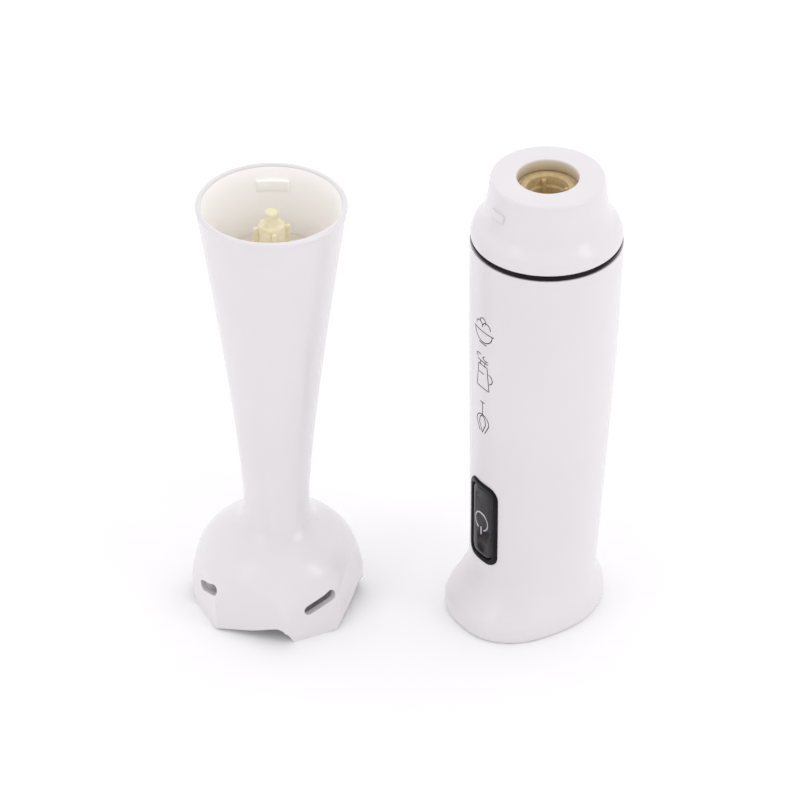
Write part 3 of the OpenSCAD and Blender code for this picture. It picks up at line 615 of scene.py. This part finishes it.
def rounded(share, width, height, radius):
    """The point a share of the way round a rounded rectangle, from its right side's middle."""
    radius = min(radius, width / 2, height / 2)
    w, h = width / 2 - radius, height / 2 - radius
    arc = math.pi * radius / 2
    runs = [h, arc, 2 * w, arc, 2 * h, arc, 2 * w, arc, h]
    way = share * sum(runs)
    spots = [(w + radius, 0, 0, 1), (w, h, 0, 1), (w, h + radius, -1, 0), (-w, h, 1, 2),
             (-w - radius, h, 0, -1), (-w, -h, 2, 3), (-w, -h - radius, 1, 0), (w, -h, 3, 4),
             (w + radius, -h, 0, 1)]
    for k, run in enumerate(runs):
        if way <= run or k == len(runs) - 1:
            break
        way -= run
    x, y, dx, dy = spots[k]
    if k % 2:
        a = (way / arc + (k - 1) / 2) * math.pi / 2
        return x + radius * math.cos(a), y + radius * math.sin(a)
    return x + dx * way, y + dy * way


def face_ring(width, height, radius, proud, level=None):
    """A rounded outline on the grip, `proud` mm above its face, or flat at `level` mm forwards."""

    def point(share):
        u, v = rounded(share, width, height, radius)
        z = BUTTON_Z + v
        return on_handle(u, grip_front(u, z) + proud if level is None else level, z)

    return point


window = ring_stack("window", 64, [face_ring(BEZEL_W + 0.1, BEZEL_H + 0.1, CORNER, 0, reach)
                                   for reach in (18, 44)], bridge=False)
edit(window)
bpy.ops.mesh.select_all(action="DESELECT")
bpy.ops.mesh.select_mode(type="EDGE")
bpy.ops.mesh.select_non_manifold(extend=False)
bpy.ops.mesh.edge_face_add()
bpy.ops.mesh.select_mode(type="VERT")
bpy.ops.mesh.select_all(action="SELECT")
bpy.ops.mesh.normals_make_consistent(inside=False)
bpy.ops.object.mode_set(mode="OBJECT")
cut(body_shell, window)
dress(body_shell, shell_white, "white_shell", "handle", "handle_shell")

# %% Frame round the switch
frame_cut = [(0, -7.0), (0, 0.35), (0.12, 0.62), (0.4, 0.84), (0.8, 0.92), (1.7, 0.90), (2.1, 0.78),
             (2.35, 0.5), (2.4, 0.2), (2.4, -7.0)]
bezel = ring_stack("switch_bezel", 128, [face_ring(BEZEL_W - 2 * d, BEZEL_H - 2 * d, CORNER - d, h)
                                         for d, h in frame_cut])
dress(bezel, bezel_black, "black_gloss", "handle", "button_bezel", angle=50)

# %% Key
KEY_W, KEY_H = 12.8, 33.8
key_cut = [(0, -1.6), (0, -0.4), (0.08, 0.1), (0.3, 0.38), (0.7, 0.5), (1.3, 0.52), (2.4, 0.46),
           (3.8, 0.34), (5.0, 0.27), (6.1, 0.24), (6.4, 0.24)]
rings = [face_ring(KEY_W - 2 * d, KEY_H - 2 * d, 3 - d * 0.4, h) for d, h in key_cut]
BACK = 22.85
under = [face_ring(KEY_W + more, KEY_H + more, corner, 0, BACK - back)
         for more, corner, back in ((-12.6, 0.1, 1.6), (3, 3, 1.6), (3, 3, 0.1), (0, 3, 0.1))]
key = ring_stack("power_key", 128, under + rings, bridge=False)
dress(key, switch_black, "black_gloss", "button", "power_button", angle=50)


# %% Mark on the key
def raised_line(name, points, radius_mm, sink_mm, closed=False):
    """A rounded line that lies on the grip's face; points are (sideways, up) in mm."""
    curve = bpy.data.curves.new(name, "CURVE")
    curve.dimensions = "3D"
    curve.bevel_depth = radius_mm * MM
    curve.bevel_resolution = 3
    curve.use_fill_caps = True
    for stroke in points:
        line = curve.splines.new("POLY")
        line.points.add(len(stroke) - 1)
        for spot, (u, z) in zip(line.points, stroke):
            spot.co = (*on_handle(u, grip_front(u, z) + sink_mm, z), 1)
    piece = bpy.data.objects.new(name, curve)
    bpy.context.scene.collection.objects.link(piece)
    bpy.ops.object.select_all(action="DESELECT")
    piece.select_set(True)
    bpy.context.view_layer.objects.active = piece
    bpy.ops.object.convert(target="MESH")
    return bpy.context.object


def arc(u, z, radius, start_deg, end_deg, steps=24, squash=1.0):
    span = [math.radians(start_deg + (end_deg - start_deg) * k / steps) for k in range(steps + 1)]
    return [(u + radius * math.cos(a), z + squash * radius * math.sin(a)) for a in span]


mark_lines = [arc(0, BUTTON_Z, 4.2, -65, 245, 48),
              [(0, BUTTON_Z - 6.4 + k * 0.5) for k in range(9)]]
power_mark = raised_line("power_mark", mark_lines, 0.42, 0.2)
dress(power_mark, mark_chrome, "black_gloss", "button", angle=60)

# %% [markdown]
# ## Printed pictures
# Three small line drawings are printed down the front of the grip: a bowl of fruit, a jug and a
# whisk. They are drawn here as plain strokes, about half a millimetre wide and a hair proud of
# the plastic, as pad-printed ink is.

# %% Pictures on the grip
BOWL_Z, JUG_Z, WHISK_Z = 143.0, 123.4, 102.0


def lift(strokes, z0):
    return [[(u, z0 + v) for u, v in stroke] for stroke in strokes]


bowl = [arc(0, 1.2, 5.6, 180, 360, 20, 0.9), [(-6.4, 1.2), (6.4, 1.2)],
        arc(-2.4, 3.4, 2.2, 0, 180, 14),
        arc(2.2, 3.6, 2.4, 0, 180, 14), arc(0, 5.8, 1.8, -20, 200, 14), [(-2.4, -4.6), (2.4, -4.6)]]
jug = [[(-2.8, 4.4), (-4.0, -6.6), (4.0, -6.6), (2.8, 4.4), (-2.8, 4.4)],
       arc(3.4, -0.6, 2.4, -70, 80, 12), [(-1.4, 4.4), (-1.4, 6.2)], [(1.4, 4.4), (1.4, 6.2)],
       [(-3.4, 6.2), (3.4, 6.2)], [(-2.4, 0.4), (0.8, 0.4)],
       arc(-2.2, 8.2, 2.0, 240, 60, 10, 0.5), arc(2.2, 8.2, 2.0, 120, 300, 10, 0.5)]
whisk = [[(0, 7.6), (0, 1.4)], arc(0, -2.4, 4.0, 0, 180, 20, 1.0), [(-4.0, -2.4), (-1.6, -7.0)],
         [(4.0, -2.4), (1.6, -7.0)], arc(0, -2.8, 2.0, 0, 180, 14, 1.9),
         [(-2.0, -2.8), (0, -7.2), (2.0, -2.8)],
         [(-1.4, 7.6), (1.4, 7.6)]]
for name, strokes, z0 in (("print_bowl", bowl, BOWL_Z), ("print_jug", jug, JUG_Z),
                          ("print_whisk", whisk, WHISK_Z)):
    fine = []
    for stroke in lift(strokes, z0):
        line = []
        for (u1, v1), (u2, v2) in zip(stroke, stroke[1:]):
            parts = max(1, round(math.hypot(u2 - u1, v2 - v1) / 0.8))
            line += [(u1 + (u2 - u1) * k / parts, v1 + (v2 - v1) * k / parts) for k in range(parts)]
        fine.append(line + [stroke[-1]])
    picture = raised_line(name, fine, 0.3, -0.2)
    dress(picture, ink_grey, "black_plastic", "handle", angle=60)

# %% [markdown]
# ## Ring and coupling nose
# A smoked-chrome bead is nipped between the grip and the nose. The nose is a turned-looking
# moulding: a shoulder, a hollow, and a plain spigot with a bore where the drive socket sits.

# %% Ring
R = (ring_high[0] - ring_low[0]) / 2
ring_profile = [(27.8, ZT + 0.1), (R - 0.5, ZT + 0.06), (R - 0.18, ZT + 0.2), (R - 0.02, ZT + 0.6),
                (R, ZT + 1.2), (R - 0.02, ZR - 0.65), (R - 0.18, ZR - 0.25), (R - 0.5, ZR - 0.08),
                (27.8, ZR - 0.1)]
ring = turn("chrome_ring", (0, 0), ring_profile, 160)
dress(ring, smoked_chrome, "dark_chrome", "handle", "trim_ring", angle=50)

# %% Nose
PLATE = NOSE_TOP - 5
Q = R / 30
BORE = 12.3
shoulder = flowing([(r * Q, ZR + z) for r, z in (
    (29.9, 0.3), (29.95, 1), (29.8, 2.6), (29.1, 4.8), (27.9, 6.8), (26.7, 8.3), (25.7, 9.8),
    (24.9, 11.6), (24.3, 13.8), (23.7, 17.2), (23.1, 21.2), (22.75, 24.4))]
    + [(22.6 * Q, NOSE_TOP - 1.5)], 3)
top_edge = [(22.4 * Q, NOSE_TOP - 0.75), (22.1 * Q, NOSE_TOP - 0.28), (21.7 * Q, NOSE_TOP - 0.06),
            (21.2 * Q, NOSE_TOP), (12.95, NOSE_TOP), (12.55, NOSE_TOP - 0.12),
            (12.34, NOSE_TOP - 0.45), (BORE, NOSE_TOP - 1), (BORE, PLATE)]
skirt = [(24.8, ZT - 12.8), (27.5, ZT - 12.8), (27.5, ZR), (29.6 * Q, ZR), (29.8 * Q, ZR + 0.1)]
inner = [(20.2 * Q, PLATE), (21.4 * Q, ZR + 17), (22.4 * Q, ZR + 12.5), (24.8, ZR + 6)]
nose = turn("coupling_nose", (0, 0), skirt + shoulder + top_edge + inner, 160)
dress(nose, shell_white, "white_shell", "handle", "nose_collar")
# The faces down the nose's bore take the painted shade by depth.
nose.data.materials.append(bore_painted_shade)
for face in nose.data.polygons:
    c = face.center
    if c.z / MM > PLATE - 0.1 and math.hypot(c.x, c.y) / MM < BORE + 0.2:
        face.material_index = 1


# %% Bayonet lugs
def swept_block(name, axis, radii, heights, middle_deg, half_width, steps=8):
    """A curved bar about an upright axis: one flat face swung round it with spin."""
    r0, r1 = radii
    z0, z1 = heights
    half = math.degrees(math.asin(half_width / r1))
    a0 = math.radians(middle_deg - half)
    bpy.ops.object.select_all(action="DESELECT")
    bpy.ops.mesh.primitive_plane_add(
        size=1, rotation=(math.pi / 2, 0, a0),
        location=((axis[0] + (r0 + r1) / 2 * math.cos(a0)) * MM,
                  (axis[1] + (r0 + r1) / 2 * math.sin(a0)) * MM, (z0 + z1) / 2 * MM))
    piece = bpy.context.object
    piece.name = name
    piece.scale = ((r1 - r0) * MM, (z1 - z0) * MM, 1)
    bpy.ops.object.transform_apply(location=True, rotation=True, scale=True)
    edit(piece)
    bpy.ops.mesh.spin(steps=steps, angle=math.radians(-2 * half),
                      center=(axis[0] * MM, axis[1] * MM, 0), axis=(0, 0, 1))
    bpy.ops.object.mode_set(mode="OBJECT")
    close_up(piece, False)
    soften(piece, 0.45, 3)
    return piece


for name, deg in (("lug_front", 214.5), ("lug_back", 34.5)):
    lug = swept_block(name, (0, 0), (23.1, 24.85), (ZR + 15.5, ZR + 19), deg, 3.9)
    dress(lug, shell_white, "white_shell", "handle")

# %% Drive socket
TOP = NOSE_TOP - 5.1
socket_profile = [(r, TOP + z) for r, z in (
    (2.52, -23.4), (5.3, -23.4), (5.5, -23.1), (5.5, -13.4), (10.6, -13.4), (11, -13.0), (11, -2.4),
    (13.3, -2.4), (13.3, -0.42), (11, -0.42), (11, -0.3), (10.7, 0), (8.9, 0), (8.45, -0.35),
    (8.3, -0.9), (8.3, -4.2), (7.4, -4.8), (7.3, -10.2), (7.1, -10.4), (2.52, -10.4))]
socket = turn("drive_socket_cup", (0, 0), socket_profile, 96)
# The socket and its ribs wear the cream nylon with painted shade of the bore.
dress(socket, socket_painted_shade_nylon, "cream_plastic", "rotor", "drive_socket")
for k in range(4):
    rib = swept_block(f"socket_rib_{k}", (0, 0), (6.6, 8.5), (TOP - 10.4, TOP - 1.2),
                      10 + 90 * k, 1.1, 3)
    dress(rib, socket_painted_shade_nylon, "cream_plastic", "rotor")

# %% [markdown]
# ## The shaft: funnel, neck and bell
# This is one long moulding. The funnel narrows on a slightly hollow line to the neck and opens
# into a bell with eight flats, and the bell's rim is cut in four saw teeth, so that food is drawn
# in. Round parts could be turned, but flats and teeth could not, so the whole wall is a stack of
# rings: each ring's radius is trimmed where a flat crosses it, and the lowest rings rise with the
# teeth. Slots go through last.

# %% Profiles of the shaft
SLOT_FLAT, TOOTH_FLAT = 33.5, 32.1
TOOTH = 7.2
NECK_R, MOUTH_R, THICK = 13.6, 30.3, 2.8
NECK_Z, PLATE_Z = 54.0, 31.0
INNER = 2.4


def funnel(z):
    return NECK_R + (MOUTH_R - NECK_R) * max(0.0, (z - NECK_Z) / (WAND_H - NECK_Z)) ** 1.25


def flat_trim(radius, a, inset, blend=0.25):
    """The radius at angle a where eight flats, at slots and teeth in turn, cut a circle."""
    for flat, first in ((SLOT_FLAT, 25.5), (TOOTH_FLAT, -19.5)):
        off = (a - math.radians(first) + math.pi / 4) % (math.pi / 2) - math.pi / 4
        straight = (flat - inset) / math.cos(off)
        h = max(0.0, blend - abs(radius - straight)) / blend
        radius = min(radius, straight) - h * h * blend / 4
    return radius


STEP_X = [-18, -11.5, -5, 0, 5, 8.5, 11.5, 13.8, 15.8, 17.6]
STEP_H = [0, 0.2, 0.36, 0.49, 0.7, 0.88, 1, 0.92, 0.62, 0]


def rim_height(a):
    """How high the rim is lifted at angle a, where a tooth's gap crosses it."""
    best = 0.0
    for k in range(4):
        facing = math.radians(70.5 + 90 * k - 90)
        x = flat_trim(35.0, a, 1.0) * math.sin(a - facing)
        if math.cos(a - facing) <= 0 or not STEP_X[0] < x < STEP_X[-1]:
            continue
        for i in range(len(STEP_X) - 1):
            if STEP_X[i] <= x <= STEP_X[i + 1]:
                t = (x - STEP_X[i]) / (STEP_X[i + 1] - STEP_X[i])
                best = max(best, TOOTH * (STEP_H[i] + t * (STEP_H[i + 1] - STEP_H[i])))
    return best


outer_bell = flowing([(35.6, 0), (36, 9), (35.2, 15), (34, 20.4), (32.6, 24.4), (30.9, 27.6),
                      (28.7, 30.4), (25.9, 32.9), (22.5, 35.1), (19.2, 37.3), (16.6, 39.5),
                      (14.9, 42), (14.0, 45), (NECK_R, 50), (NECK_R, NECK_Z)], 4)
inner_bell = flowing([(33.2, 0), (33.2, 9), (32.6, 14.6), (31.5, 19.4), (30, 23.2), (27.9, 26.6),
                      (25.2, 29.2), (21.5, PLATE_Z)], 4)


def radius_at(line, z):
    for (r1, z1), (r2, z2) in zip(line, line[1:]):
        if z1 <= z <= z2:
            return r1 + (r2 - r1) * (z - z1) / max(1e-9, z2 - z1)
    return line[-1][0]


def bell_ring(line, z, inset):
    """A bell ring; low rings rise with the teeth, and fade back to level at 24 mm."""

    def point(share):
        a = share * math.tau
        lift = rim_height(a) * max(0.0, 1 - z / 24)
        height = z + lift
        r = flat_trim(radius_at(line, height), a, inset)
        return on_wand(r * math.cos(a), r * math.sin(a), height)

    return point


def round_ring(r, z):
    return lambda share: on_wand(r * math.cos(share * math.tau), r * math.sin(share * math.tau), z)


# %% The shaft housing
FUNNEL_TOP, FUNNEL_STEPS = WAND_H - 2.2, 40
CAVITY_TOP, CAVITY_STEPS = WAND_H - 2.4, 30
up = [0.0, 0.25, 0.8, 1.8, 3.2, 5, 7, 9, 11, 13, 15, 17, 19, 21, 22.5]
up += [z for _, z in outer_bell if z > 23.5]
walls = [bell_ring(outer_bell, z, 0.0) for z in up]
for k in range(1, FUNNEL_STEPS + 1):
    z = NECK_Z + (FUNNEL_TOP - NECK_Z) * k / FUNNEL_STEPS
    walls.append(round_ring(funnel(z), z))
walls += [round_ring(r, WAND_H - drop) for r, drop in (
    (MOUTH_R, 1.4), (30.12, 0.9), (29.85, 0.45), (29.4, 0.14), (28.9, 0), (28.45, 0.1), (28.1, 0.4),
    (MOUTH_R - THICK + 0.4, 1))]
for k in range(CAVITY_STEPS + 1):
    z = CAVITY_TOP - (CAVITY_TOP - NECK_Z) * k / CAVITY_STEPS
    walls.append(round_ring(funnel(z) - THICK, z))
walls += [round_ring(r, z) for r, z in ((10.8, 42), (5.62, 42), (5.62, 35), (7.8, 35), (7.8, PLATE_Z))]
walls += [bell_ring(inner_bell, z, INNER) for z in
          [PLATE_Z - 0.05, 30, 28.6, 27, 25.4, 24, 22, 20, 18, 16, 14, 12, 10, 8, 6, 4, 2,
           0.8, 0.25, 0.0]]
housing = ring_stack("shaft_housing", 320, walls)
print("housing rings", len(walls))

# %% Slots through the bell
SLOT_R, SLOT_HALF, SLOT_Z, SLOT_TILT = 2.3, 5.2, 16.5, math.radians(23)
OUT_MORE, LENGTH_MORE = 1.1, 0.3
for k in range(4):
    facing = math.radians(32.5 + 90 * k - 90)
    bpy.ops.object.select_all(action="DESELECT")
    bpy.ops.mesh.primitive_cylinder_add(vertices=48, radius=SLOT_R * MM, depth=12 * MM,
                                        location=(0, 0, 0))
    slot_tool = bpy.context.object
    edit(slot_tool)
    bpy.ops.object.mode_set(mode="OBJECT")
    for v in slot_tool.data.vertices:
        along = math.copysign(SLOT_HALF * MM, v.co.x) if abs(v.co.x) > 1e-9 else 0.0
        grow = OUT_MORE if v.co.z > 0 else 1.0
        v.co = ((v.co.x + along) * (1 + (grow - 1) * LENGTH_MORE), v.co.y * grow, v.co.z)
    slot_tool.rotation_mode = "XYZ"
    tilt = type(slot_tool.matrix_world).Rotation(SLOT_TILT, 4, "Z")
    stand = type(slot_tool.matrix_world).Rotation(math.pi / 2, 4, "X")
    swing = type(slot_tool.matrix_world).Rotation(facing + math.pi / 2, 4, "Z")
    spot = on_wand(34 * math.cos(facing), 34 * math.sin(facing), SLOT_Z)
    move = type(slot_tool.matrix_world).Translation(spot)
    slot_tool.matrix_world = move @ swing @ stand @ tilt
    bpy.ops.object.transform_apply(location=True, rotation=True, scale=True)
    cut(housing, slot_tool)
dress(housing, shell_white, "white_shell", "wand", "wand_housing", angle=28)
# The faces inside the funnel take the painted shade by depth.
housing.data.materials.append(funnel_painted_shade)
inside_faces = 0
for face in housing.data.polygons:
    c = face.center
    x, y = c.x / MM - WAND_X, c.y / MM
    within = 41.9 < c.z / MM < WAND_H - 1.1 and math.hypot(x, y) < funnel(c.z / MM) - 1.2
    if within and x * face.normal.x + y * face.normal.y < 0:
        face.material_index = 1
        inside_faces += 1
print("warm faces inside the funnel", inside_faces)

# %% Ledges that lock the handle
for name, deg in (("ledge_back", 90.0), ("ledge_front", 270.0)):
    ledge = swept_block(name, (WAND_X, 0), (25.3, funnel(WAND_H - 11) - 1.4),
                        (WAND_H - 11, WAND_H - 6), deg, 7.0)
    dress(ledge, funnel_painted_shade, "white_shell", "wand")

# %% Drive dog
DOG_Z, DOG_TOP = WAND_H - 22.5, WAND_H - 4
dog_profile = [(0, DOG_TOP - 7.5), (3.02, DOG_TOP - 7.5), (3.02, DOG_Z), (5.1, DOG_Z),
               (5.4, DOG_Z + 0.4), (5.4, DOG_TOP - 6.5), (5.1, DOG_TOP - 6), (3.0, DOG_TOP - 6),
               (2.8, DOG_TOP - 5.7), (2.8, DOG_TOP - 0.5), (2.4, DOG_TOP), (0, DOG_TOP)]
dog = turn("drive_dog_body", (WAND_X, 0), dog_profile, 64, walled=False)
dress(dog, FINISHES["cream_plastic"], "cream_plastic", "blade_unit", "drive_dog")
for k in range(4):
    fin = swept_block(f"dog_fin_{k}", (WAND_X, 0), (5.0, 7.4), (DOG_Z + 1.5, DOG_TOP - 7),
                      10 + 90 * k, 1.1, 3)
    dress(fin, FINISHES["cream_plastic"], "cream_plastic", "blade_unit")
